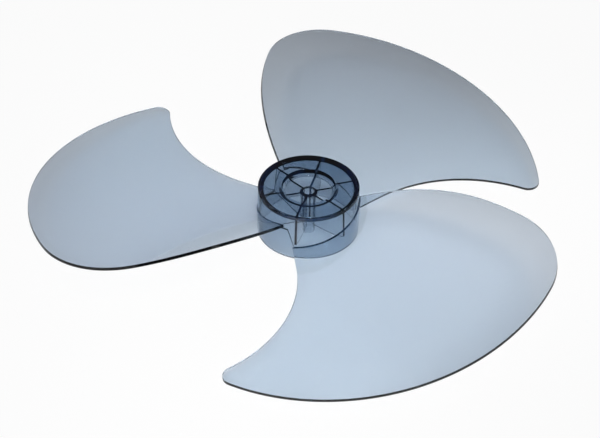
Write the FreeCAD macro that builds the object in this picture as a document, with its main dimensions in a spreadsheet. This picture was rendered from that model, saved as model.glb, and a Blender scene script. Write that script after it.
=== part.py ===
import FreeCAD, Part
import math
import os
import Sketcher

# Fan blade for a pedestal fan: three blades and their hub, moulded in one piece.
# Millimetres and degrees. The hub's axis is Z, its rear rim lies on Z = 0 and its closed front faces +Z.
# A blade is drawn along +X of its own body, with its leading edge on the -Y side.

Vector = FreeCAD.Vector
doc = FreeCAD.newDocument("fan_blade")

# Driving dimensions
sizes = {
    "fan_diameter": 400,
    "blade_count": 3,
    "blade_bearing": 180,
    "blade_thickness": 2.2,
    "blade_edge_chamfer": 0.3,
    # blade sections, at the axis, part of the way out and past the tip:
    # height of the middle surface on the blade's own line, pitch, and radius of the hollow front
    "root_height": 13.8,
    "root_pitch": 18,
    "root_camber_radius": 278,
    "middle_station": 100,
    "middle_height": 21.8,
    "middle_pitch": 11.3,
    "middle_camber_radius": 627,
    "tip_overrun": 5,
    "tip_height": 32.8,
    "tip_pitch": 9.2,
    "tip_camber_radius": 1025,
    # outline of a blade, seen along the axis
    "leading_slope": 22,
    "leading_radius": 103,
    "leading_centre_x": 9,
    "leading_centre_y": -131.7,
    "point_radius": 8.6,
    "outer_radius": 151.2,
    "outer_centre_y": 2.8,
    "shoulder_radius": 54.5,
    "trailing_radius": 188.5,
    "trailing_centre_x": 172.9,
    "trailing_centre_y": -73.3,
    # hub shell
    "hub_front_diameter": 73.2,
    "hub_rear_diameter": 74.4,
    "hub_depth": 38,
    "hub_front_wall": 4,
    "hub_rear_wall": 2.2,
    "hub_front_thickness": 5,
    "hub_edge_radius": 0.8,
    # skirt: the wall's rear half, proud of the front half along the mould's parting line,
    # which follows the blade roots and drops from each blade's end to the next one's start
    "skirt_depth": 25.5,
    "skirt_rear_step": 0.2,
    "skirt_front_step": 0.8,
    "skirt_drop_slant": 4.5,
    "skirt_overrun": 5,
    # dished recess in the front, with the boss for the shaft under its floor
    "recess_diameter": 39,
    "recess_floor_diameter": 34,
    "recess_depth": 4.5,
    "recess_wall": 2,
    "recess_edge_radius": 0.6,
    "recess_corner_radius": 1.5,
    "floor_thickness": 2,
    "boss_front_diameter": 12.4,
    "boss_rear_diameter": 10.6,
    "shaft_diameter": 8,
    "shaft_clearance": 0.1,
    "pin_slot_width": 3.2,
    "pin_slot_depth": 4,
    "pin_slot_overrun": 2,
    # ribs between boss and wall, deeper at the boss
    "rib_count": 6,
    "rib_bearing": 16,
    "rib_thickness": 1.6,
    "rib_wall_height": 11.5,
    "rib_boss_height": 7,
}

# Places worked out from the driving dimensions
places = {
    "tip_station": "fan_diameter / 2 + tip_overrun",
    "outer_centre_x": "sqrt((fan_diameter / 2 - outer_radius) ^ 2 - outer_centre_y ^ 2)",
    "blank_low_side": "outer_centre_y - outer_radius",
    "blank_high_side": "outer_centre_y + outer_radius",
    "hub_front_radius": "hub_front_diameter / 2",
    "hub_rear_radius": "hub_rear_diameter / 2",
    "hub_front_inside": "hub_front_radius - hub_front_wall",
    "hub_rear_inside": "hub_rear_radius - hub_rear_wall",
    "hub_front_middle": "hub_front_radius - hub_front_wall / 2",
    "hub_rear_middle": "hub_rear_radius - hub_rear_wall / 2",
    "front_underside": "hub_depth - hub_front_thickness",
    "front_middle": "hub_depth - hub_front_thickness / 2",
    "recess_radius": "recess_diameter / 2",
    "recess_outside": "recess_radius + recess_wall",
    "recess_middle": "recess_radius + recess_wall / 2",
    "recess_floor_radius": "recess_floor_diameter / 2",
    "recess_floor_outside": "recess_floor_radius + recess_wall",
    "floor_top": "hub_depth - recess_depth",
    "floor_underside": "floor_top - floor_thickness",
    "floor_middle": "floor_top - floor_thickness / 2",
    "boss_front_radius": "boss_front_diameter / 2",
    "boss_rear_radius": "boss_rear_diameter / 2",
    "bore_radius": "(shaft_diameter + shaft_clearance) / 2",
    "boss_middle": "(boss_rear_radius + bore_radius) / 2",
    "rib_wall_reach": "hub_rear_middle"
    " + (hub_front_middle - hub_rear_middle) * rib_wall_height / hub_depth",
    "blade_root_radius": "(hub_front_middle + hub_rear_middle) / 2",
    "leading_offset": "leading_centre_x * sin(leading_slope * 1 deg)"
    " + leading_centre_y * cos(leading_slope * 1 deg) + leading_radius",
    "blade_root_turn": "asin(leading_offset / blade_root_radius) / 1 deg - leading_slope",
    "blade_root_low_side": "blade_root_radius * sin(blade_root_turn * 1 deg)",
    "pin_slot_length": "boss_front_diameter + pin_slot_overrun",
    "skirt_rear_radius": "hub_rear_radius + skirt_rear_step",
    "skirt_front_radius": "hub_rear_radius + skirt_front_step",
    "parting_low_side": "blade_root_low_side",
    "parting_drop_side": "parting_low_side - skirt_drop_slant",
    "parting_high_side": "skirt_front_radius + skirt_overrun",
    "parting_top": "skirt_depth + skirt_overrun",
}
for station in ("root", "middle", "tip"):
    places[station + "_front_radius"] = station + "_camber_radius - blade_thickness / 2"
    places[station + "_rear_radius"] = station + "_camber_radius + blade_thickness / 2"
    places[station + "_centre_y"] = "-%s_camber_radius * sin(%s_pitch * 1 deg)" % (station, station)
    camber_rise = "%s_camber_radius * cos(%s_pitch * 1 deg)" % (station, station)
    places[station + "_centre_z"] = "%s_height + %s" % (station, camber_rise)

sheet = doc.addObject("Spreadsheet::Sheet", "dims")
cells = {name: str(value) for name, value in sizes.items()}
cells.update({name: "=" + formula for name, formula in places.items()})
for row, (name, text) in enumerate(cells.items(), 1):
    sheet.set("A%d" % row, name)
    sheet.set("B%d" % row, text)
    sheet.setAlias("B%d" % row, name)
doc.recompute()


def size(name):
    return float(sheet.get(name))


# Sketch helpers
ORIGIN, X_AXIS, Y_AXIS = -1, -1, -2
START, END, CENTRE = range(1, 4)


def add_body(label):
    body = doc.addObject("PartDesign::Body", label)
    body.Label = label
    return body


def origin_item(body, role):
    return [item for item in body.Origin.OriginFeatures if item.Role == role][0]


def add_sketch(body, name, plane):
    sketch = body.newObject("Sketcher::SketchObject", name)
    sketch.AttachmentSupport = (origin_item(body, plane), "")
    sketch.MapMode = "FlatFace"
    return sketch


def bind(sketch, kind, *items, cell):
    index = sketch.addConstraint(Sketcher.Constraint(kind, *items, size(cell)))
    sketch.setExpression("Constraints[%d]" % index, "dims." + cell)


def bind_point(sketch, geometry, point, across, up):
    # ties a point of the sketch to two cells; None leaves it on the axis
    if across is None:
        sketch.addConstraint(Sketcher.Constraint("PointOnObject", geometry, point, Y_AXIS))
    else:
        bind(sketch, "DistanceX", ORIGIN, START, geometry, point, cell=across)
    if up is None:
        sketch.addConstraint(Sketcher.Constraint("PointOnObject", geometry, point, X_AXIS))
    else:
        bind(sketch, "DistanceY", ORIGIN, START, geometry, point, cell=up)


def add_polygon(sketch, corners):
    points = [Vector(size(across) if across else 0, size(up) if up else 0) for across, up in corners]
    count = len(points)
    for number in range(count):
        sketch.addGeometry(Part.LineSegment(points[number], points[(number + 1) % count]))
    for number in range(count):
        sketch.addConstraint(Sketcher.Constraint("Coincident", number, END, (number + 1) % count, START))
    for number, (across, up) in enumerate(corners):
        bind_point(sketch, number, START, across, up)


def arc(centre, first, last):
    # counter-clockwise arc round centre from the first point to the last
    start = math.atan2(first.y - centre.y, first.x - centre.x)
    end = math.atan2(last.y - centre.y, last.x - centre.x)
    circle = Part.Circle(centre, Vector(0, 0, 1), centre.distanceToPoint(first))
    return Part.ArcOfCircle(circle, start, end)


def at_bearing(centre, radius, bearing):
    turn = math.radians(bearing)
    return centre + Vector(radius * math.cos(turn), radius * math.sin(turn))


def crossing(centre_a, radius_a, centre_b, radius_b, near):
    # the point nearest to near where two circles cross
    line = centre_b - centre_a
    gap = line.Length
    along = (radius_a ** 2 - radius_b ** 2 + gap ** 2) / (2 * gap)
    aside = math.sqrt(radius_a ** 2 - along ** 2)
    foot = centre_a + line * (along / gap)
    normal = Vector(-line.y, line.x) * (aside / gap)
    return min((foot + normal, foot - normal), key=near.distanceToPoint)


def add_pattern(body, name, count_cell, feature=None):
    # repeats one feature round the axis, or the body so far
    pattern = body.newObject("PartDesign::PolarPattern", name)
    if feature:
        pattern.Originals = [feature]
    else:
        pattern.TransformMode = "Whole shape"
    pattern.Axis = (origin_item(body, "Z_Axis"), [""])
    pattern.Angle = 360
    pattern.setExpression("Occurrences", "dims." + count_cell)
    body.Tip = pattern
    doc.recompute()


def add_station_sketch(body, station, suffix):
    # sketch across the blade at one of its stations, and the centre of its section's arcs
    sketch = add_sketch(body, station + suffix, "YZ_Plane")
    if station != "root":
        sketch.setExpression("AttachmentOffset.Base.z", "dims.%s_station" % station)
    return sketch, Vector(size(station + "_centre_y"), size(station + "_centre_z"))


def below(centre, side_cell, radius_cell):
    # point on the lower half of a circle, at a given side
    across = size(side_cell)
    drop = math.sqrt(size(radius_cell) ** 2 - (across - centre.x) ** 2)
    return Vector(across, centre.y - drop)


# One blade: a twisted, hollow-fronted blank lofted through three sections
blades = add_body("blades")


def add_blade_section(station):
    section, centre = add_station_sketch(blades, station, "_section")
    ends = []
    for radius_cell in (station + "_front_radius", station + "_rear_radius"):
        low = below(centre, "blank_low_side", radius_cell)
        high = below(centre, "blank_high_side", radius_cell)
        section.addGeometry(arc(centre, low, high))
        ends.append((low, high))
    for side in (0, 1):
        section.addGeometry(Part.LineSegment(ends[0][side], ends[1][side]))
    front, rear, low_end, high_end = range(4)
    for line, arc_end in ((low_end, START), (high_end, END)):
        section.addConstraint(Sketcher.Constraint("Coincident", line, START, front, arc_end))
        section.addConstraint(Sketcher.Constraint("Coincident", line, END, rear, arc_end))
        section.addConstraint(Sketcher.Constraint("Vertical", line))
    section.addConstraint(Sketcher.Constraint("Coincident", front, CENTRE, rear, CENTRE))
    bind_point(section, front, CENTRE, station + "_centre_y", station + "_centre_z")
    bind(section, "Radius", front, cell=station + "_front_radius")
    bind(section, "Radius", rear, cell=station + "_rear_radius")
    bind(section, "DistanceX", ORIGIN, START, front, START, cell="blank_low_side")
    bind(section, "DistanceX", ORIGIN, START, front, END, cell="blank_high_side")
    return section


blade_sections = [add_blade_section(station) for station in ("root", "middle", "tip")]
doc.recompute()
blank = blades.newObject("PartDesign::AdditiveLoft", "blank")
blank.Profile = blade_sections[0]
blank.Sections = blade_sections[1:]
doc.recompute()

# The blade's outline: from the hub a straight run into the hollow leading edge, then the point,
# the outer edge, the shoulder and the trailing edge, all tangent, and back round inside the hub's wall
outline = add_sketch(blades, "outline", "XY_Plane")
axis = Vector(0, 0)
leading = Vector(size("leading_centre_x"), size("leading_centre_y"))
outer = Vector(size("outer_centre_x"), size("outer_centre_y"))
trailing = Vector(size("trailing_centre_x"), size("trailing_centre_y"))
tip = Vector(size("fan_diameter") / 2, 0)
point = crossing(
    leading, size("leading_radius") + size("point_radius"),
    outer, size("outer_radius") - size("point_radius"),
    tip,
)
shoulder = crossing(
    outer, size("outer_radius") - size("shoulder_radius"),
    trailing, size("trailing_radius") - size("shoulder_radius"),
    tip,
)
root_low = at_bearing(axis, size("blade_root_radius"), size("blade_root_turn"))
root_high = crossing(axis, size("blade_root_radius"), trailing, size("trailing_radius"), tip)
lead_start = at_bearing(leading, size("leading_radius"), 90 - size("leading_slope"))
lead_end = leading + (point - leading).normalize() * size("leading_radius")
point_end = outer + (point - outer).normalize() * size("outer_radius")
shoulder_start = outer + (shoulder - outer).normalize() * size("outer_radius")
shoulder_end = trailing + (shoulder - trailing).normalize() * size("trailing_radius")

outline_pieces = [
    Part.LineSegment(root_low, lead_start),
    arc(leading, lead_end, lead_start),
    arc(point, lead_end, point_end),
    arc(outer, point_end, shoulder_start),
    arc(shoulder, shoulder_start, shoulder_end),
    arc(trailing, shoulder_end, root_high),
    arc(axis, root_low, root_high),
    Part.Circle(axis, Vector(0, 0, 1), size("fan_diameter")),
]
for piece in outline_pieces:
    outline.addGeometry(piece)
lead_line, lead_arc, point_arc, outer_arc, shoulder_arc, trail_arc, root_arc, trim_circle = range(8)
smooth_joins = [
    (lead_line, END, lead_arc, END),
    (lead_arc, START, point_arc, START),
    (point_arc, END, outer_arc, START),
    (outer_arc, END, shoulder_arc, START),
    (shoulder_arc, END, trail_arc, START),
]
for join in smooth_joins:
    outline.addConstraint(Sketcher.Constraint("Tangent", *join))
outline.addConstraint(Sketcher.Constraint("Coincident", root_arc, START, lead_line, START))
outline.addConstraint(Sketcher.Constraint("Coincident", root_arc, END, trail_arc, END))
for round_piece in (root_arc, trim_circle):
    outline.addConstraint(Sketcher.Constraint("Coincident", round_piece, CENTRE, ORIGIN, START))
bind(outline, "DistanceY", ORIGIN, START, lead_line, START, cell="blade_root_low_side")
for piece, edge in ((lead_arc, "leading"), (outer_arc, "outer"), (trail_arc, "trailing")):
    bind_point(outline, piece, CENTRE, edge + "_centre_x", edge + "_centre_y")
    bind(outline, "Radius", piece, cell=edge + "_radius")
bind(outline, "Radius", point_arc, cell="point_radius")
bind(outline, "Radius", shoulder_arc, cell="shoulder_radius")
bind(outline, "Radius", root_arc, cell="blade_root_radius")
bind(outline, "Radius", trim_circle, cell="fan_diameter")
doc.recompute()

trim = blades.newObject("PartDesign::Pocket", "trim")
trim.Profile = outline
trim.Type = "ThroughAll"
trim.SideType = "Symmetric"
doc.recompute()


def rim_edges(shape):
    # the blade's long edges, outside the hub: those that aren't upright
    names = []
    for number, edge in enumerate(shape.Edges, 1):
        first, last = edge.Vertexes[0].Point, edge.Vertexes[-1].Point
        run = math.hypot(last.x - first.x, last.y - first.y)
        middle = edge.valueAt((edge.FirstParameter + edge.LastParameter) / 2)
        if run > size("blade_thickness") and math.hypot(middle.x, middle.y) > size("hub_rear_radius"):
            names.append("Edge%d" % number)
    return names


broken_rim = blades.newObject("PartDesign::Chamfer", "broken_rim")
broken_rim.Base = (trim, rim_edges(trim.Shape))
broken_rim.setExpression("Size", "dims.blade_edge_chamfer")
doc.recompute()
add_pattern(blades, "all_blades", "blade_count")

# Skirt: a ring round the hub's rear, cut down to the blade roots
skirt = add_body("skirt")
skirt_section = add_sketch(skirt, "skirt_section", "XZ_Plane")
add_polygon(skirt_section, [
    ("hub_rear_middle", None),
    ("skirt_rear_radius", None),
    ("skirt_front_radius", "skirt_depth"),
    ("hub_rear_middle", "skirt_depth"),
])
doc.recompute()
skirt_ring = skirt.newObject("PartDesign::Revolution", "skirt_ring")
skirt_ring.Profile = skirt_section
skirt_ring.ReferenceAxis = (skirt_section, ["V_Axis"])
skirt_ring.Angle = 360
doc.recompute()


def add_parting_section(station):
    section, centre = add_station_sketch(skirt, station, "_parting")
    low = below(centre, "parting_low_side", station + "_camber_radius")
    high = below(centre, "parting_high_side", station + "_camber_radius")
    top_low = Vector(size("parting_drop_side"), size("parting_top"))
    top_high = Vector(high.x, top_low.y)
    section.addGeometry(arc(centre, low, high))
    section.addGeometry(Part.LineSegment(high, top_high))
    section.addGeometry(Part.LineSegment(top_high, top_low))
    section.addGeometry(Part.LineSegment(top_low, low))
    blade_line, high_line, top_line, drop_line = range(4)
    section.addConstraint(Sketcher.Constraint("Coincident", blade_line, END, high_line, START))
    section.addConstraint(Sketcher.Constraint("Coincident", high_line, END, top_line, START))
    section.addConstraint(Sketcher.Constraint("Coincident", top_line, END, drop_line, START))
    section.addConstraint(Sketcher.Constraint("Coincident", drop_line, END, blade_line, START))
    section.addConstraint(Sketcher.Constraint("Vertical", high_line))
    section.addConstraint(Sketcher.Constraint("Horizontal", top_line))
    bind_point(section, blade_line, CENTRE, station + "_centre_y", station + "_centre_z")
    bind_point(section, top_line, END, "parting_drop_side", "parting_top")
    bind(section, "Radius", blade_line, cell=station + "_camber_radius")
    bind(section, "DistanceX", ORIGIN, START, blade_line, START, cell="parting_low_side")
    bind(section, "DistanceX", ORIGIN, START, blade_line, END, cell="parting_high_side")
    return section


parting_sections = [add_parting_section(station) for station in ("root", "middle")]
doc.recompute()
parting = skirt.newObject("PartDesign::SubtractiveLoft", "parting")
parting.Profile = parting_sections[0]
parting.Sections = parting_sections[1:]
doc.recompute()
add_pattern(skirt, "all_partings", "blade_count", parting)

blade_turn = FreeCAD.Rotation(Vector(0, 0, 1), size("blade_bearing"))
for body in (blades, skirt):
    body.Placement = FreeCAD.Placement(Vector(), blade_turn)
    body.setExpression("Placement.Rotation.Angle", "dims.blade_bearing")
doc.recompute()

# Hub: a drafted cup, open to the rear, with a recessed front and a bored boss
hub = add_body("fan_blade")
hub_section = add_sketch(hub, "hub_section", "XZ_Plane")
add_polygon(hub_section, [
    ("hub_rear_radius", None),
    ("hub_front_radius", "hub_depth"),
    ("recess_radius", "hub_depth"),
    ("recess_floor_radius", "floor_top"),
    ("bore_radius", "floor_top"),
    ("bore_radius", None),
    ("boss_rear_radius", None),
    ("boss_front_radius", "floor_underside"),
    ("recess_floor_outside", "floor_underside"),
    ("recess_outside", "front_underside"),
    ("hub_front_inside", "front_underside"),
    ("hub_rear_inside", None),
])
doc.recompute()
shell = hub.newObject("PartDesign::Revolution", "shell")
shell.Profile = hub_section
shell.ReferenceAxis = (hub_section, ["V_Axis"])
shell.Angle = 360
doc.recompute()


def ring_edges(shape, radius_cell, height_cell):
    names = []
    for number, edge in enumerate(shape.Edges, 1):
        if not isinstance(edge.Curve, Part.Circle):
            continue
        same_radius = abs(edge.Curve.Radius - size(radius_cell)) < 1e-4
        same_height = abs(edge.Curve.Center.z - size(height_cell)) < 1e-4
        if same_radius and same_height:
            names.append("Edge%d" % number)
    return names


def round_ring(name, base, radius_cell, height_cell, fillet_cell):
    fillet = hub.newObject("PartDesign::Fillet", name)
    fillet.Base = (base, ring_edges(base.Shape, radius_cell, height_cell))
    fillet.setExpression("Radius", "dims." + fillet_cell)
    doc.recompute()
    return fillet


rounded = shell
for name, radius_cell, height_cell, fillet_cell in (
    ("front_edge", "hub_front_radius", "hub_depth", "hub_edge_radius"),
    ("recess_edge", "recess_radius", "hub_depth", "recess_edge_radius"),
    ("recess_corner", "recess_floor_radius", "floor_top", "recess_corner_radius"),
):
    rounded = round_ring(name, rounded, radius_cell, height_cell, fillet_cell)

rib_side = add_sketch(hub, "rib_side", "XZ_Plane")
rib_turn = FreeCAD.Rotation(Vector(0, 1, 0), size("rib_bearing"))
rib_side.AttachmentOffset = FreeCAD.Placement(Vector(), rib_turn)
rib_side.setExpression("AttachmentOffset.Rotation.Angle", "dims.rib_bearing")
add_polygon(rib_side, [
    ("boss_middle", "rib_boss_height"),
    ("rib_wall_reach", "rib_wall_height"),
    ("hub_front_middle", "front_middle"),
    ("recess_middle", "front_middle"),
    ("recess_middle", "floor_middle"),
    ("boss_middle", "floor_middle"),
])
doc.recompute()
rib = hub.newObject("PartDesign::Pad", "rib")
rib.Profile = rib_side
rib.SideType = "Symmetric"
rib.setExpression("Length", "dims.rib_thickness")
doc.recompute()
add_pattern(hub, "all_ribs", "rib_count", rib)

# Slot across the boss for the shaft's drive pin
slot_plan = add_sketch(hub, "slot_plan", "XY_Plane")
half_length, half_width = size("pin_slot_length") / 2, size("pin_slot_width") / 2
slot_corners = [
    Vector(-half_length, -half_width),
    Vector(half_length, -half_width),
    Vector(half_length, half_width),
    Vector(-half_length, half_width),
]
for number in range(4):
    slot_plan.addGeometry(Part.LineSegment(slot_corners[number], slot_corners[(number + 1) % 4]))
for number in range(4):
    slot_plan.addConstraint(Sketcher.Constraint("Coincident", number, END, (number + 1) % 4, START))
    slot_plan.addConstraint(Sketcher.Constraint("Horizontal" if number % 2 == 0 else "Vertical", number))
slot_plan.addConstraint(Sketcher.Constraint("Symmetric", 0, START, 2, START, ORIGIN, START))
bind(slot_plan, "DistanceX", 0, START, 0, END, cell="pin_slot_length")
bind(slot_plan, "DistanceY", 1, START, 1, END, cell="pin_slot_width")
doc.recompute()
slot = hub.newObject("PartDesign::Pocket", "pin_slot")
slot.Profile = slot_plan
slot.Reversed = True
slot.setExpression("Length", "dims.pin_slot_depth")
doc.recompute()

# Hub and blades are one moulding
moulding = hub.newObject("PartDesign::Boolean", "moulding")
moulding.setObjects([blades, skirt])
moulding.Type = "Fuse"
doc.recompute()

for item in doc.Objects:
    faults = {"Invalid", "Error"} & set(item.State)
    if faults:
        raise RuntimeError("%s: %s" % (item.Label, ", ".join(faults)))
    shape = getattr(item, "Shape", None)
    if shape is not None and (shape.isNull() or not shape.isValid()):
        raise RuntimeError(item.Label + " has a bad shape")

os.makedirs("parts", exist_ok=True)
hub.Shape.exportStep("parts/%s.step" % hub.Label)
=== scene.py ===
import bmesh
import bpy
import math
import numpy as np
from mathutils import Matrix, Vector
from mathutils.geometry import delaunay_2d_cdt


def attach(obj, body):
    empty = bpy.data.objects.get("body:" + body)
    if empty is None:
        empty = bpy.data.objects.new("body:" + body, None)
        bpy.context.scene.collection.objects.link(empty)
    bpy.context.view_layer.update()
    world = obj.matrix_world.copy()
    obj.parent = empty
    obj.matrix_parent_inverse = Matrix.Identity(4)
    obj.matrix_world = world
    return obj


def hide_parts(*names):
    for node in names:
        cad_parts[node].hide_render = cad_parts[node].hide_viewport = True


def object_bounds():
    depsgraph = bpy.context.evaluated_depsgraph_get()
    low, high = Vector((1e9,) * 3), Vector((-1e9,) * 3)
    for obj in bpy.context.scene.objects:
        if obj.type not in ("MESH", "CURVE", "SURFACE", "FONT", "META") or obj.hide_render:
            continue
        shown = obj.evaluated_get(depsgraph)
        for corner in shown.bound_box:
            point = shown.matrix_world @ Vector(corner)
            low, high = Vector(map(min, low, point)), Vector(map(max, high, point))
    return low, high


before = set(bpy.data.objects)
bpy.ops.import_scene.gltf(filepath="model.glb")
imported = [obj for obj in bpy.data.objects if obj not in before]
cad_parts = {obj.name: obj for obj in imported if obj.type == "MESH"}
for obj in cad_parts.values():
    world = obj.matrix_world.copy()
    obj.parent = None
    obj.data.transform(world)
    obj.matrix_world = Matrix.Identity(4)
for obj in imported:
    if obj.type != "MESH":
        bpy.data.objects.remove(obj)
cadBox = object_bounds()
mm = 0.001
print("frame loaded:", [round(side / mm) for side in cadBox[1] - cadBox[0]], "mm")

scene = bpy.context.scene
scene.view_settings.view_transform = "Standard"


def toLinear(hexColour):  # sRGB hex to the linear numbers that nodes take
    parts = [int(hexColour[i:i + 2], 16) / 255 for i in (1, 3, 5)]
    return tuple(p / 12.92 if p <= 0.04045 else ((p + 0.055) / 1.055) ** 2.4 for p in parts)


def addNode(tree, kind, settings=None, links=None):  # links: input name or number to an output socket
    node = tree.nodes.new(kind)
    for name, value in (settings or {}).items():
        if isinstance(name, int) or name in node.inputs:
            node.inputs[name].default_value = value
        else:
            setattr(node, name, value)
    for name, source in (links or {}).items():
        tree.links.new(source, node.inputs[name])
    return node


def newMaterial(name):
    material = bpy.data.materials.new(name)
    material.use_nodes = True
    material.node_tree.nodes.clear()
    return material, material.node_tree


# Clear tinted SAN, injection moulded in a polished tool: gloss all over, and the tint gathers
# where light runs along the sheet, so thin walls look pale and edges look navy. Soft swells, where
# the plastic shrank, bend the reflections a little, and handled patches blur them
plastic = {
    "tint": "#dfe7ee",  # what is left of white after one depth
    "depthMm": 2.0,
    "ior": 1.57,
    "roughness": (0.02, 0.05),  # as moulded, and where handled
    "patchMm": 15,  # size of the handled patches
    "swellMm": 40,  # from one swell to the next
    "swellHeightMm": 0.03,
    "faceShare": 0.92,  # of a lamp's light that gets through each face
}


def makePlastic():
    material, tree = newMaterial("moulded tinted SAN")
    share = toLinear(plastic["tint"])
    perMetre = [-math.log(s) / (plastic["depthMm"] * mm) for s in share]
    density = max(perMetre)
    keeps = [1 - p / density for p in perMetre]
    place = addNode(tree, "ShaderNodeTexCoord").outputs["Object"]
    swells = addNode(tree, "ShaderNodeTexNoise", {
        "Scale": 1 / (plastic["swellMm"] * mm), "Detail": 1,
    }, {"Vector": place})
    bump = addNode(tree, "ShaderNodeBump", {"Strength": 1, "Distance": plastic["swellHeightMm"] * mm}, {
        "Height": swells.outputs[0],
    })
    patches = addNode(tree, "ShaderNodeTexNoise", {
        "Scale": 1 / (plastic["patchMm"] * mm), "Detail": 3,
    }, {"Vector": place})
    moulded, handled = plastic["roughness"]
    gloss = addNode(tree, "ShaderNodeMapRange", {"To Min": moulded, "To Max": handled}, {
        "Value": patches.outputs[0],
    })
    clear = addNode(tree, "ShaderNodeBsdfPrincipled", {
        "Base Color": (1, 1, 1, 1),
        "IOR": plastic["ior"],
        "Transmission Weight": 1,
    }, {"Roughness": gloss.outputs[0], "Normal": bump.outputs[0]})
    rays = addNode(tree, "ShaderNodeLightPath")
    passes = addNode(tree, "ShaderNodeBsdfTransparent", {"Color": (*[plastic["faceShare"]] * 3, 1)})
    mix = addNode(tree, "ShaderNodeMixShader", links={
        0: rays.outputs["Is Shadow Ray"], 1: clear.outputs[0], 2: passes.outputs[0],
    })
    inside = addNode(tree, "ShaderNodeVolumeAbsorption", {"Color": (*keeps, 1), "Density": density})
    addNode(tree, "ShaderNodeOutputMaterial", links={
        "Surface": mix.outputs[0], "Volume": inside.outputs[0],
    })
    print("plastic: takes", [round(p) for p in perMetre], "per metre")
    return material


# One blade in millimetres, drawn along +X with its leading edge towards -Y. The sheet is hollow on
# the front: an arc at each station along it, with its height on the blade's line, pitch and radius
bladeShape = {
    "count": 3,
    "bearing": 180,  # degrees from +X to the first blade
    "sweep": 400,
    "thickness": 2.2,
    "edgeRadius": 0.2,
    "stations": (0, 100, 205),
    "heights": (13.8, 21.8, 32.8),
    "pitches": (18, 11.3, 9.2),
    "hollowRadii": (278, 627, 1025),
    "leadingSlope": 22,
    "leadingRadius": 103,
    "leadingCentre": (9, -131.7),
    "pointRadius": 8.6,
    "outerRadius": 151.2,
    "outerCentreY": 2.8,
    "shoulderRadius": 54.5,
    "trailingRadius": 188.5,
    "trailingCentre": (172.9, -73.3),
    "rootRadius": 35.35,  # inside the hub's wall
    "edgeTurns": (90, 60, 30, 0),  # degrees round the edge's rounding, a ring of mesh points at each
    "edgeSpacing": 1.0,  # between mesh points along the outline
    "gridSpacing": 4.0,  # between mesh points inside it
    "turnSteps": 8,  # at least this many mesh points to a radius, on tight turns
    "halvings": 40,  # of the search for a point on the sheet
}


def sheetHeight(x, y, offset):  # over plan points; offset is from the middle of the sheet to the rear
    start, middle, end = bladeShape["stations"]
    bend = 2 * (start + end - 2 * middle)
    slope = 4 * middle - 3 * start - end
    along = (np.sqrt(slope ** 2 + 4 * bend * (x - start)) - slope) / (2 * bend)
    shares = ((1 - along) * (1 - 2 * along), 4 * along * (1 - along), along * (2 * along - 1))
    arcs = []
    stations = zip(bladeShape["heights"], bladeShape["pitches"], bladeShape["hollowRadii"])
    for height, pitch, hollow in stations:
        centreY = -hollow * math.sin(math.radians(pitch))
        centreZ = height + hollow * math.cos(math.radians(pitch))
        radius = hollow + offset
        low = math.asin((bladeShape["outerCentreY"] - bladeShape["outerRadius"] - centreY) / radius)
        high = math.asin((bladeShape["outerCentreY"] + bladeShape["outerRadius"] - centreY) / radius)
        arcs.append((centreY, centreZ, radius, low, high))
    below, above = np.zeros_like(x), np.ones_like(x)
    for _ in range(bladeShape["halvings"]):  # find how far round the arcs each point lies
        across = (below + above) / 2
        reached = sum(
            share * (centreY + radius * np.sin(low + (high - low) * across))
            for share, (centreY, centreZ, radius, low, high) in zip(shares, arcs)
        )
        below = np.where(reached < y, across, below)
        above = np.where(reached < y, above, across)
    return sum(
        share * (centreZ - radius * np.cos(low + (high - low) * across))
        for share, (centreY, centreZ, radius, low, high) in zip(shares, arcs)
    )


def circlesMeet(centreA, radiusA, centreB, radiusB, near):
    line = centreB - centreA
    along = (radiusA ** 2 - radiusB ** 2 + line.length_squared) / (2 * line.length)
    aside = math.sqrt(radiusA ** 2 - along ** 2)
    foot = centreA + line.normalized() * along
    normal = Vector((-line.y, line.x)).normalized() * aside
    return min((foot + normal, foot - normal), key=lambda point: (point - near).length)


def arcRun(centre, first, last, clockwise=False):  # points from first up to last, without last
    start = math.atan2(first.y - centre.y, first.x - centre.x)
    turn = math.atan2(last.y - centre.y, last.x - centre.x) - start
    turn = turn % (2 * math.pi) - (2 * math.pi if clockwise else 0)
    radius = (first - centre).length
    spacing = min(bladeShape["edgeSpacing"], radius / bladeShape["turnSteps"])
    count = max(2, round(abs(turn) * radius / spacing))
    angles = [start + turn * i / count for i in range(count)]
    return [centre + radius * Vector((math.cos(angle), math.sin(angle))) for angle in angles]


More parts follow.
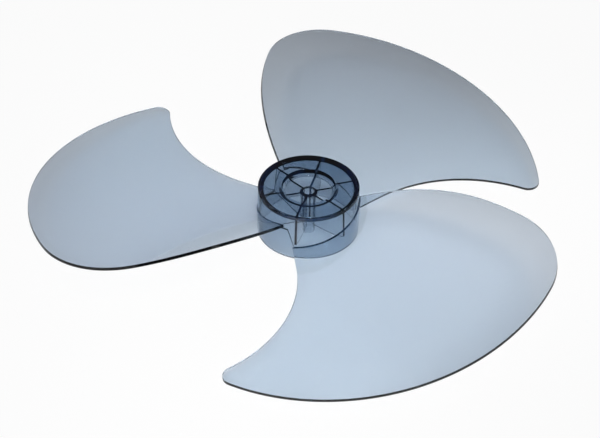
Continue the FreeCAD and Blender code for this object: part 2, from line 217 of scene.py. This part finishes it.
def bladeOutline():
    shape = bladeShape
    axis = Vector((0, 0))
    tip = Vector((shape["sweep"] / 2, 0))
    leading, trailing = Vector(shape["leadingCentre"]), Vector(shape["trailingCentre"])
    outerX = math.sqrt((shape["sweep"] / 2 - shape["outerRadius"]) ** 2 - shape["outerCentreY"] ** 2)
    outer = Vector((outerX, shape["outerCentreY"]))
    point = circlesMeet(
        leading, shape["leadingRadius"] + shape["pointRadius"],
        outer, shape["outerRadius"] - shape["pointRadius"], tip,
    )
    shoulder = circlesMeet(
        outer, shape["outerRadius"] - shape["shoulderRadius"],
        trailing, shape["trailingRadius"] - shape["shoulderRadius"], tip,
    )
    slope = math.radians(shape["leadingSlope"])
    straight = Vector((math.cos(slope), -math.sin(slope)))
    leadStart = leading + shape["leadingRadius"] * Vector((math.sin(slope), math.cos(slope)))
    reach = leadStart.dot(straight)  # back along the straight run to the root circle
    rootLow = leadStart - straight * (
        reach - math.sqrt(shape["rootRadius"] ** 2 - leadStart.length_squared + reach ** 2)
    )
    rootHigh = circlesMeet(axis, shape["rootRadius"], trailing, shape["trailingRadius"], tip)
    leadEnd = leading + (point - leading).normalized() * shape["leadingRadius"]
    pointEnd = outer + (point - outer).normalized() * shape["outerRadius"]
    shoulderStart = outer + (shoulder - outer).normalized() * shape["outerRadius"]
    shoulderEnd = trailing + (shoulder - trailing).normalized() * shape["trailingRadius"]
    steps = round((leadStart - rootLow).length / shape["edgeSpacing"])
    outline = [rootLow.lerp(leadStart, i / steps) for i in range(steps)]
    outline += arcRun(leading, leadStart, leadEnd, clockwise=True)
    outline += arcRun(point, leadEnd, pointEnd)
    outline += arcRun(outer, pointEnd, shoulderStart)
    outline += arcRun(shoulder, shoulderStart, shoulderEnd)
    outline += arcRun(trailing, shoulderEnd, rootHigh)
    outline += arcRun(axis, rootHigh, rootLow, clockwise=True)
    return outline


def newPiece(name, points, faces):  # points in millimetres
    mesh = bpy.data.meshes.new(name)
    mesh.from_pydata([Vector(point) * mm for point in points], [], faces)
    form = bmesh.new()
    form.from_mesh(mesh)
    bmesh.ops.recalc_face_normals(form, faces=form.faces)
    form.to_mesh(mesh)
    form.free()
    piece = bpy.data.objects.new(name, mesh)
    scene.collection.objects.link(piece)
    return piece


def setRound(name, points, faces, count, bearing):  # copies round the hub's axis
    pieces = []
    for i in range(count):
        piece = newPiece("%s%d" % (name, i + 1), points, faces)
        turn = math.radians(bearing + 360 * i / count)
        piece.data.transform(Matrix.Rotation(turn, 4, "Z"))
        pieces.append(piece)
    return pieces


def edgeRings(outline):  # level, from 1 on the front face to -1 on the rear, and the ring there
    count = len(outline)
    outward = []
    for i in range(count):
        run = outline[(i + 1) % count] - outline[i - 1]
        outward.append(Vector((run.y, -run.x)).normalized())
    half, edge = bladeShape["thickness"] / 2, bladeShape["edgeRadius"]
    turns = [math.radians(angle) for angle in bladeShape["edgeTurns"]]
    insets = [edge * (1 - math.cos(turn)) for turn in turns]
    levels = [(half - edge + edge * math.sin(turn)) / half for turn in turns]
    frontRim = list(zip(insets, levels))
    rim = frontRim + [(inset, -level) for inset, level in reversed(frontRim)]

    # the edge stands square to the sheet, so it leans where the sheet rises or falls outward
    x, y = np.array([tuple(point) for point in outline]).T
    outX, outY = np.array([tuple(out) for out in outward]).T
    step = bladeShape["edgeSpacing"]
    ahead = sheetHeight(x + outX * step, y + outY * step, 0)
    behind = sheetHeight(x - outX * step, y - outY * step, 0)
    leans = half * np.sin(np.arctan2(ahead - behind, 2 * step))
    rings = []
    for inset, level in rim:
        back = inset + level * leans + np.abs(leans)
        ring = [point - float(b) * out for point, b, out in zip(outline, back, outward)]
        rings.append((level, ring))
    return rings


def fillRing(ring):  # plan of a flat side: even grid inside the ring, faces, and the ring's own points
    grid, spacing = [], bladeShape["gridSpacing"]
    rows = math.ceil(bladeShape["sweep"] / spacing)
    for row in range(-rows, rows):
        for column in range(-rows, rows):
            grid.append(Vector(((column + 0.5 * (row % 2)) * spacing, row * spacing * math.sqrt(3) / 2)))
    ringArray = np.array([tuple(point) for point in ring])
    gridArray = np.array([tuple(point) for point in grid])
    inside = np.zeros(len(grid), bool)
    clear = np.ones(len(grid), bool)  # of the ring's points
    for i in range(len(ring)):
        (ax, ay), (bx, by) = ringArray[i - 1], ringArray[i]
        crosses = (ay > gridArray[:, 1]) != (by > gridArray[:, 1])
        with np.errstate(divide="ignore", invalid="ignore"):
            meets = ax + (gridArray[:, 1] - ay) * (bx - ax) / (by - ay)
        inside ^= crosses & (gridArray[:, 0] < meets)
        clear &= np.hypot(gridArray[:, 0] - bx, gridArray[:, 1] - by) > spacing / 2
    plan = ring + [point for point, keep in zip(grid, inside & clear) if keep]
    insideOnly, tolerance = 1, 1e-6
    filled = delaunay_2d_cdt(plan, [], [list(range(len(ring)))], insideOnly, tolerance)
    points, _, faces, sources, _, _ = filled
    order = {source: i for i, found in enumerate(sources) for source in found}
    return points, faces, [order[i] for i in range(len(ring))]


def liftPoints(plan, level):  # onto the sheet
    half = bladeShape["thickness"] / 2
    x, y = np.array([tuple(point) for point in plan]).T
    front, rear = sheetHeight(x, y, -half), sheetHeight(x, y, half)
    heights = rear + (front - rear) * (level + 1) / 2
    return [(point.x, point.y, z) for point, z in zip(plan, heights)]


def makeBlades():
    outline = bladeOutline()
    count = len(outline)
    rings = edgeRings(outline)
    points, faces = [], []
    for level, ring in rings:
        points += liftPoints(ring, level)
    starts = [count * i for i in range(len(rings))]
    for upper, lower in zip(starts, starts[1:]):
        for i in range(count):
            j = (i + 1) % count
            faces.append((upper + i, lower + i, lower + j, upper + j))
    plan, planFaces, planRing = fillRing(rings[0][1])
    for level, ringStart in ((1, starts[0]), (-1, starts[-1])):
        place = {planRing[i]: ringStart + i for i in range(count)}
        for i, point in enumerate(liftPoints(plan, level)):
            if i not in place:
                place[i] = len(points)
                points.append(point)
        faces += [tuple(place[i] for i in face) for face in planFaces]
    print("blades:", len(faces), "faces each")
    return setRound("blade", points, faces, bladeShape["count"], bladeShape["bearing"])


# Hub in millimetres: a drafted cup with a recessed front, a bored boss and ribs between boss and wall
hubShape = {
    "frontRadius": 36.6,
    "rearRadius": 37.2,
    "depth": 38,
    "frontInside": 32.6,
    "rearInside": 35.0,
    "frontThickness": 5.0,
    "edgeRadius": 0.8,
    "recessRadius": 19.5,
    "recessFloorRadius": 17.0,
    "recessDepth": 4.5,
    "recessWall": 2.0,
    "recessEdgeRadius": 0.6,
    "recessCornerRadius": 1.5,
    "floorThickness": 2.0,
    "boreRadius": 4.05,
    "bossFrontRadius": 6.2,
    "bossRearRadius": 5.3,
    "smallRadius": 0.25,  # what polishing leaves on the other corners
    "cornerSteps": 6,
    "smallCornerSteps": 3,
    "segments": 240,
    "skirtSegments": 720,  # the parting line's steps need more
    "sharpAngle": 12,  # degrees; shading smoothed over steeper corners would tilt the flat sides
    "ribCount": 6,
    "ribBearing": 16,
    "ribThickness": 1.6,
    "ribWallHeight": 11.5,
    "ribBossHeight": 7,
    "slotSize": (14.4, 3.2, 4),
    "skirtDepth": 25.5,
    "skirtRear": 37.4,
    "skirtFront": 38.0,
    "partingStart": -26.45,  # across each blade's line, where its root begins
    "partingSlant": 4.5,
    "partingTop": 30.5,
}


def roundCorners(corners):  # (radius, height, rounding) to a smooth section
    section = []
    for i, (r, z, rounding) in enumerate(corners):
        here = Vector((r, z))
        before = (Vector(corners[i - 1][:2]) - here).normalized()
        after = (Vector(corners[(i + 1) % len(corners)][:2]) - here).normalized()
        opening = before.angle(after)
        if rounding == 0:
            section.append(here)
            continue
        centre = here + (before + after).normalized() * rounding / math.sin(opening / 2)
        start = here + before * rounding / math.tan(opening / 2) - centre
        end = here + after * rounding / math.tan(opening / 2) - centre
        small = rounding == hubShape["smallRadius"]
        steps = hubShape["smallCornerSteps"] if small else hubShape["cornerSteps"]
        for step in range(steps + 1):
            section.append(centre + start.slerp(end, step / steps).normalized() * rounding)
    return section


def revolve(name, sectionAt, segments):  # sectionAt: turn to (radius, height) points, as many at each
    points, faces = [], []
    for i in range(segments):
        turn = 2 * math.pi * i / segments
        section = sectionAt(turn)
        points += [(r * math.cos(turn), r * math.sin(turn), z) for r, z in section]
    size = len(section)
    for i in range(segments):
        here, there = i * size, (i + 1) % segments * size
        for j in range(size):
            k = (j + 1) % size
            faces.append((here + j, here + k, there + k, there + j))
    return newPiece(name, points, faces)


def makeShell():
    hub = hubShape
    small = hub["smallRadius"]
    floorTop = hub["depth"] - hub["recessDepth"]
    floorUnder = floorTop - hub["floorThickness"]
    frontUnder = hub["depth"] - hub["frontThickness"]
    recessOutside = hub["recessRadius"] + hub["recessWall"]
    section = roundCorners([
        (hub["rearRadius"], 0, 0),
        (hub["frontRadius"], hub["depth"], hub["edgeRadius"]),
        (hub["recessRadius"], hub["depth"], hub["recessEdgeRadius"]),
        (hub["recessFloorRadius"], floorTop, hub["recessCornerRadius"]),
        (hub["boreRadius"], floorTop, small),
        (hub["boreRadius"], 0, small),
        (hub["bossRearRadius"], 0, small),
        (hub["bossFrontRadius"], floorUnder, small),
        (hub["recessFloorRadius"] + hub["recessWall"], floorUnder, small),
        (recessOutside, frontUnder, small),
        (hub["frontInside"], frontUnder, small),
        (hub["rearInside"], 0, small),
    ])
    return revolve("shell", lambda turn: section, hub["segments"])


def wallMiddle(height):  # radius halfway through the hub's wall
    hub = hubShape
    rear = (hub["rearRadius"] + hub["rearInside"]) / 2
    front = (hub["frontRadius"] + hub["frontInside"]) / 2
    return rear + (front - rear) * height / hub["depth"]


def makeRibs():
    hub = hubShape
    bossMiddle = (hub["boreRadius"] + hub["bossRearRadius"]) / 2
    recessMiddle = hub["recessRadius"] + hub["recessWall"] / 2
    frontMiddle = hub["depth"] - hub["frontThickness"] / 2
    floorMiddle = hub["depth"] - hub["recessDepth"] - hub["floorThickness"] / 2
    side = [
        (bossMiddle, hub["ribBossHeight"]),
        (wallMiddle(hub["ribWallHeight"]), hub["ribWallHeight"]),
        (wallMiddle(hub["depth"]), frontMiddle),
        (recessMiddle, frontMiddle),
        (recessMiddle, floorMiddle),
        (bossMiddle, floorMiddle),
    ]
    half = hub["ribThickness"] / 2
    points = [(x, y, z) for y in (-half, half) for x, z in side]
    size = len(side)
    faces = [tuple(range(size)), tuple(range(size, 2 * size))]
    faces += [(i, (i + 1) % size, size + (i + 1) % size, size + i) for i in range(size)]
    return setRound("rib", points, faces, hub["ribCount"], hub["ribBearing"])


def partingHeight(turn):  # the skirt ends where a blade root starts, seen at this bearing
    hub = hubShape
    height = hub["skirtDepth"]
    radius = (hub["skirtRear"] + hub["skirtFront"]) / 2
    for i in range(bladeShape["count"]):
        own = turn - math.radians(bladeShape["bearing"] + 360 * i / bladeShape["count"])
        x, y = radius * math.cos(own), radius * math.sin(own)
        start = hub["partingStart"]
        if x < 0 or y < start - hub["partingSlant"]:
            continue
        line = float(sheetHeight(np.array([x]), np.array([max(y, start)]), 0)[0])
        if y < start:
            line += (hub["partingTop"] - line) * (start - y) / hub["partingSlant"]
        height = min(height, line)
    return height


def skirtSection(turn):
    hub = hubShape
    inner = wallMiddle(0)
    top = partingHeight(turn)
    topRadius = hub["skirtRear"] + (hub["skirtFront"] - hub["skirtRear"]) * top / hub["skirtDepth"]
    return (inner, 0), (hub["skirtRear"], 0), (topRadius, top), (inner, top)


def makeSlot():  # it sticks out of the boss's rear end as far as it cuts in
    length, width, depth = hubShape["slotSize"]
    ends = (-1, 1)
    points = [(a * length / 2, b * width / 2, c * depth) for a in ends for b in ends for c in ends]
    faces = [(0, 1, 3, 2), (4, 5, 7, 6), (0, 1, 5, 4), (2, 3, 7, 6), (0, 2, 6, 4), (1, 3, 7, 5)]
    return newPiece("slot", points, faces)


def combine(base, others, operation):
    for other in others:
        step = base.modifiers.new(other.name, "BOOLEAN")
        step.operation = operation
        step.solver = "MANIFOLD"
        step.object = other
    made = base.evaluated_get(bpy.context.evaluated_depsgraph_get())
    mesh = bpy.data.meshes.new_from_object(made)
    base.modifiers.clear()
    base.data = mesh
    for other in others:
        bpy.data.objects.remove(other)


moulding = makeShell()
skirt = revolve("skirt", skirtSection, hubShape["skirtSegments"])
combine(moulding, [skirt] + makeRibs() + makeBlades(), "UNION")
combine(moulding, [makeSlot()], "DIFFERENCE")
moulding.name = "moulding"
moulding.data.shade_smooth()
moulding.data.set_sharp_from_angle(angle=math.radians(hubShape["sharpAngle"]))
moulding.data.materials.clear()
moulding.data.materials.append(makePlastic())
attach(moulding, "root")
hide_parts("fan_blade")
print("moulding:", len(moulding.data.polygons), "faces")

# White paper under the part, in a dim room with two pale cards for the gloss to mirror. The lamps
# stand in front of the part and light the paper that shows through it
stage = {
    "floorSize": 12.0,
    "paper": "#f2f2f2",
    "whiteShare": 0.95,  # of the paper as the camera sees it: even white, the rest is lit paper
    "mirrorShare": 0.5,  # the same, mirrored in the plastic: as bright as the low card above it
    "throughShare": 0.16,  # the same, seen through the plastic
    "room": "#ebedfc",  # cool daylight
    "roomLevel": 0.1,
}
cards = [  # bearing from +Y to the right, height and half width in degrees, and strength
    {"bearing": -38, "height": 45, "halfWidth": 26, "strength": 0.9},
    {"bearing": 0, "height": 8, "halfWidth": 24, "strength": 0.5},
]
lamps = [  # metres, watts and degrees
    {"name": "middle", "size": 0.2, "power": 0.055, "spread": 28,
     "place": (0.05, -0.55, 0.95), "target": (0.02, -0.03, 0)},
    {"name": "front", "size": 0.2, "power": 0.23, "spread": 28,
     "place": (0.05, -0.65, 0.95), "target": (-0.055, -0.175, 0)},
    {"name": "left", "size": 0.2, "power": 0.09, "spread": 20,
     "place": (-0.35, -0.5, 0.95), "target": (-0.12, 0.17, 0)},
    {"name": "right", "size": 0.2, "power": 0.08, "spread": 16,
     "place": (0.35, -0.5, 0.95), "target": (0.17, 0.03, 0)},
]


def makeFloor():
    bpy.ops.mesh.primitive_plane_add(size=stage["floorSize"], location=(0, 0, cadBox[0].z))
    floor = bpy.context.object
    floor.name = "floor"
    material, tree = newMaterial("white paper")
    paper = addNode(tree, "ShaderNodeBsdfDiffuse", {"Color": (*toLinear(stage["paper"]), 1)})
    white = addNode(tree, "ShaderNodeEmission", {"Strength": 1.0})
    rays = addNode(tree, "ShaderNodeLightPath")
    # A ray through the plastic counts as glossy too, so what is left over is mirrored
    mirrored = addNode(tree, "ShaderNodeMath", {"operation": "SUBTRACT"}, {
        0: rays.outputs["Is Glossy Ray"], 1: rays.outputs["Is Transmission Ray"],
    })
    views = (
        (rays.outputs["Is Camera Ray"], stage["whiteShare"]),
        (mirrored.outputs[0], stage["mirrorShare"]),
        (rays.outputs["Is Transmission Ray"], stage["throughShare"]),
    )
    shares = []
    for seen, share in views:
        part = addNode(tree, "ShaderNodeMath", {"operation": "MULTIPLY", 1: share}, {0: seen})
        shares.append(part.outputs[0])
    whiteness = shares[0]
    for share in shares[1:]:
        most = addNode(tree, "ShaderNodeMath", {"operation": "MAXIMUM"}, {0: whiteness, 1: share})
        whiteness = most.outputs[0]
    mix = addNode(tree, "ShaderNodeMixShader", links={
        0: whiteness, 1: paper.outputs[0], 2: white.outputs[0],
    })
    addNode(tree, "ShaderNodeOutputMaterial", links={"Surface": mix.outputs[0]})
    floor.data.materials.append(material)


def makeWorld():
    world = bpy.data.worlds.new("dim room")
    scene.world = world
    world.use_nodes = True
    tree = world.node_tree
    tree.nodes.clear()
    direction = addNode(tree, "ShaderNodeTexCoord").outputs["Generated"]
    glows = []
    for card in cards:
        bearing, up = math.radians(card["bearing"]), math.radians(card["height"])
        towards = (math.sin(bearing) * math.cos(up), math.cos(bearing) * math.cos(up), math.sin(up))
        facing = addNode(tree, "ShaderNodeVectorMath", {"operation": "DOT_PRODUCT", 1: towards}, {
            0: direction,
        })
        glow = addNode(tree, "ShaderNodeMapRange", {
            "interpolation_type": "SMOOTHSTEP",
            "From Min": math.cos(math.radians(card["halfWidth"])),
            "From Max": 1,
            "To Min": 0,
            "To Max": card["strength"],
        }, {"Value": facing.outputs["Value"]})
        glows.append(glow.outputs[0])
    light = addNode(tree, "ShaderNodeMath", {"operation": "ADD", 0: stage["roomLevel"]}, {1: glows[0]})
    for glow in glows[1:]:
        light = addNode(tree, "ShaderNodeMath", {"operation": "ADD"}, {0: light.outputs[0], 1: glow})
    rays = addNode(tree, "ShaderNodeLightPath")
    room = (*toLinear(stage["room"]), 1)
    studio = addNode(tree, "ShaderNodeBackground", {"Color": room}, {"Strength": light.outputs[0]})
    white = addNode(tree, "ShaderNodeBackground", {"Strength": 1.0})
    mix = addNode(tree, "ShaderNodeMixShader", links={
        0: rays.outputs["Is Camera Ray"], 1: studio.outputs[0], 2: white.outputs[0],
    })
    addNode(tree, "ShaderNodeOutputWorld", links={"Surface": mix.outputs[0]})


def addLamp(lamp):
    data = bpy.data.lights.new(lamp["name"] + " lamp", "AREA")
    data.size = lamp["size"]
    data.energy = lamp["power"]
    data.spread = math.radians(lamp["spread"])
    piece = bpy.data.objects.new(data.name, data)
    scene.collection.objects.link(piece)
    piece.location = lamp["place"]
    aim = Vector(lamp["target"]) - Vector(lamp["place"])
    piece.rotation_euler = aim.to_track_quat("-Z", "Y").to_euler()


makeFloor()
makeWorld()
for lamp in lamps:
    addLamp(lamp)

# Camera: where the photograph was taken from, found by fitting the hub and the three blades
camera = {
    "elevation": 40.13,  # degrees above the table
    "distance": 1.0505,  # metres from the hub's rear rim
    "focalPixels": 1428.9,
    "imageSize": (600, 438),
    "hubAt": (307.93, 226.15),  # pixel of the hub's axis on the table
    "roll": 1.161,  # degrees
    "sensorMm": 36,
    "clip": (0.01, 50),
}


def makeCamera():
    data = bpy.data.cameras.new("camera")
    width, height = camera["imageSize"]
    data.sensor_width = camera["sensorMm"]
    data.lens = camera["sensorMm"] * camera["focalPixels"] / width
    data.clip_start, data.clip_end = camera["clip"]
    eye = bpy.data.objects.new("camera", data)
    scene.collection.objects.link(eye)
    pan = math.atan((camera["hubAt"][0] - width / 2) / camera["focalPixels"])
    tilt = math.atan((camera["hubAt"][1] - height / 2) / camera["focalPixels"])
    elevation = math.radians(camera["elevation"])
    back = Vector((0, -math.cos(elevation), math.sin(elevation)))
    turn = Matrix.Rotation(math.pi / 2 - elevation, 4, "X")
    turn = turn @ Matrix.Rotation(math.radians(camera["roll"]), 4, "Z")
    turn = turn @ Matrix.Rotation(pan, 4, "Y") @ Matrix.Rotation(tilt, 4, "X")
    eye.matrix_world = Matrix.Translation(back * camera["distance"]) @ turn
    scene.camera = eye


makeCamera()
print("camera and light placed")

bounces = 32  # light crosses many walls in the hub
scene.cycles.max_bounces = bounces
scene.cycles.transmission_bounces = bounces
scene.cycles.transparent_max_bounces = bounces
scene.cycles.use_denoising = True
